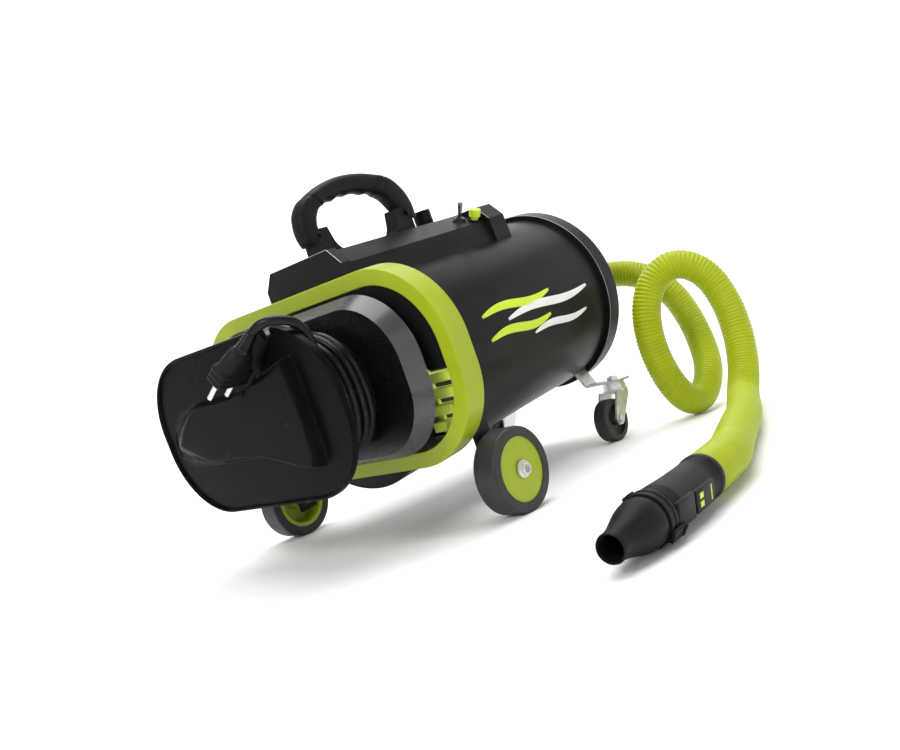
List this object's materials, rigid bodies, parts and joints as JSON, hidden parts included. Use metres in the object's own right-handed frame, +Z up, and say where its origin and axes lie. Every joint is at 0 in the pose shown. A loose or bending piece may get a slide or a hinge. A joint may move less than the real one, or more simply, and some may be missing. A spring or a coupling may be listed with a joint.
{
  "type": "pet dryer",
  "caption": "Barrel blower dryer on wheels with a lime collar, carry handle, wound mains cord, ribbed hose and a handset with a pull-off nozzle.",
  "frame": {"origin": "point on the floor midway between the two front wheels, straight below their axle", "axes": "+Z up, +X to the dryer's right seen with the cord end towards the viewer's left front, +Y towards the hose end; the barrel leans back with its rear raised by 6 degrees"},
  "size_m": [0.5618, 0.6762, 0.365],
  "materials": {
    "black_coat": "satin powder coat",
    "lime_coat": "satin powder coat",
    "lime_plastic": "moulded, satin",
    "grey_coat": "satin grey coat",
    "black_plastic": "fine moulded texture",
    "gloss_black": "gloss",
    "lime_gloss": "gloss",
    "chrome": "polished plate",
    "zinc": "bright zinc plate",
    "steel": "turned steel",
    "tyre": "matt rubber",
    "cord_rubber": "satin cable sheath",
    "hose_vinyl": "ribbed vinyl",
    "foam": "open-cell foam",
    "aluminium": "die cast"
  },
  "bodies": {
    "dryer": {"axle_brackets": "black_coat", "axle_nuts": "zinc", "axle_spacers": "black_plastic", "barrel_tube": "black_coat", "button_body": "black_plastic", "caster_kingpins": "zinc", "caster_straps": "zinc", "collar": "lime_coat", "console_box": "black_coat", "console_end_panels": "black_coat", "cord_drum": "black_plastic", "cord_gland": "black_plastic", "drum_posts": "black_plastic", "fan_duct": "black_plastic", "front_bulkhead": "black_coat", "front_cover": "gloss_black", "grip_badge": "black_plastic", "hand_grip": "black_plastic", "handle_ears": "black_coat", "handle_grip": "black_plastic", "handle_screws": "steel", "hose": "hose_vinyl", "hose_cuff": "black_plastic", "hose_spigot": "aluminium", "intake_filter": "foam", "intake_grilles": "lime_plastic", "intake_shroud": "black_plastic", "lock_ring": "black_plastic", "mains_cord_coil": "cord_rubber", "mains_cord_tail": "cord_rubber", "motor_bearings": "steel", "motor_mounts": "aluminium", "motor_stator": "steel", "plug_body": "black_plastic", "plug_boot": "cord_rubber", "plug_pins": "chrome", "rear_cap": "black_coat", "rear_cap_screws": "steel", "speed_control": "steel", "stub_axles": "steel", "toggle_body": "steel", "toggle_nut": "chrome", "winding_flange": "grey_coat"},
    "wheel_left": {"front_tyre_left": "tyre", "front_wheel_disc_left": "lime_plastic"},
    "wheel_right": {"front_tyre_right": "tyre", "front_wheel_disc_right": "lime_plastic"},
    "fork_left": {"caster_fork_left": "zinc", "caster_axle_left": "zinc"},
    "fork_right": {"caster_fork_right": "zinc", "caster_axle_right": "zinc"},
    "caster_left": {"caster_wheel_left": "tyre"},
    "caster_right": {"caster_wheel_right": "tyre"},
    "knob": {"speed_knob": "black_plastic"},
    "toggle": {"toggle_lever": "chrome"},
    "button": {"push_button": "lime_gloss"},
    "blower": {"motor_rotor": "steel", "fan_impeller": "aluminium"},
    "nozzle": {"nozzle": "black_plastic"},
    "latch": {"nozzle_latch": "black_plastic"}
  },
  "joints": [
    {"name": "front_wheel_left_spin", "type": "hinge", "parent": "dryer", "child": "wheel_left", "pos_m": [-0.16075, 0, 0.039], "axis": [1, 0, 0], "continuous": true},
    {"name": "caster_left_swivel", "type": "hinge", "parent": "dryer", "child": "fork_left", "pos_m": [-0.087, 0.313, 0.06], "axis": [0, 0, 1], "continuous": true},
    {"name": "caster_left_spin", "type": "hinge", "parent": "fork_left", "child": "caster_left", "pos_m": [-0.087, 0.287, 0.025], "axis": [1, 0, 0], "continuous": true},
    {"name": "front_wheel_right_spin", "type": "hinge", "parent": "dryer", "child": "wheel_right", "pos_m": [0.16075, 0, 0.039], "axis": [1, 0, 0], "continuous": true},
    {"name": "caster_right_swivel", "type": "hinge", "parent": "dryer", "child": "fork_right", "pos_m": [0.087, 0.313, 0.06], "axis": [0, 0, 1], "continuous": true},
    {"name": "caster_right_spin", "type": "hinge", "parent": "fork_right", "child": "caster_right", "pos_m": [0.087, 0.287, 0.025], "axis": [1, 0, 0], "continuous": true},
    {"name": "speed_knob_turn", "type": "hinge", "parent": "dryer", "child": "knob", "pos_m": [-0.01, 0.17062, 0.30027], "axis": [0, 0.1045, -0.9945], "range_deg": [0, 270]},
    {"name": "toggle_tilt", "type": "hinge", "parent": "dryer", "child": "toggle", "pos_m": [0.0367, 0.17535, 0.29355], "axis": [0.8831, 0.049, -0.4666], "range_deg": [-12, 12]},
    {"name": "button_press", "type": "slide", "parent": "dryer", "child": "button", "axis": [0.4692, -0.0923, 0.8783], "range_m": [-0.0028, 0], "stiffness_N_per_m": 250, "springref_m": 0.0015},
    {"name": "blower_spin", "type": "hinge", "parent": "dryer", "child": "blower", "pos_m": [0, 0.09978, 0.1611], "axis": [0, 0.9945, 0.1045], "continuous": true},
    {"name": "nozzle_pull", "type": "slide", "parent": "dryer", "child": "nozzle", "axis": [0.0611, -0.998, -0.017], "range_m": [0, 0.035]},
    {"name": "latch_lift", "type": "hinge", "parent": "dryer", "child": "latch", "pos_m": [0.37761, -0.10819, 0.00862], "axis": [0.5734, 0.0212, 0.819], "range_deg": [0, 10], "stiffness_Nm_per_rad": 0.05}
  ]
}
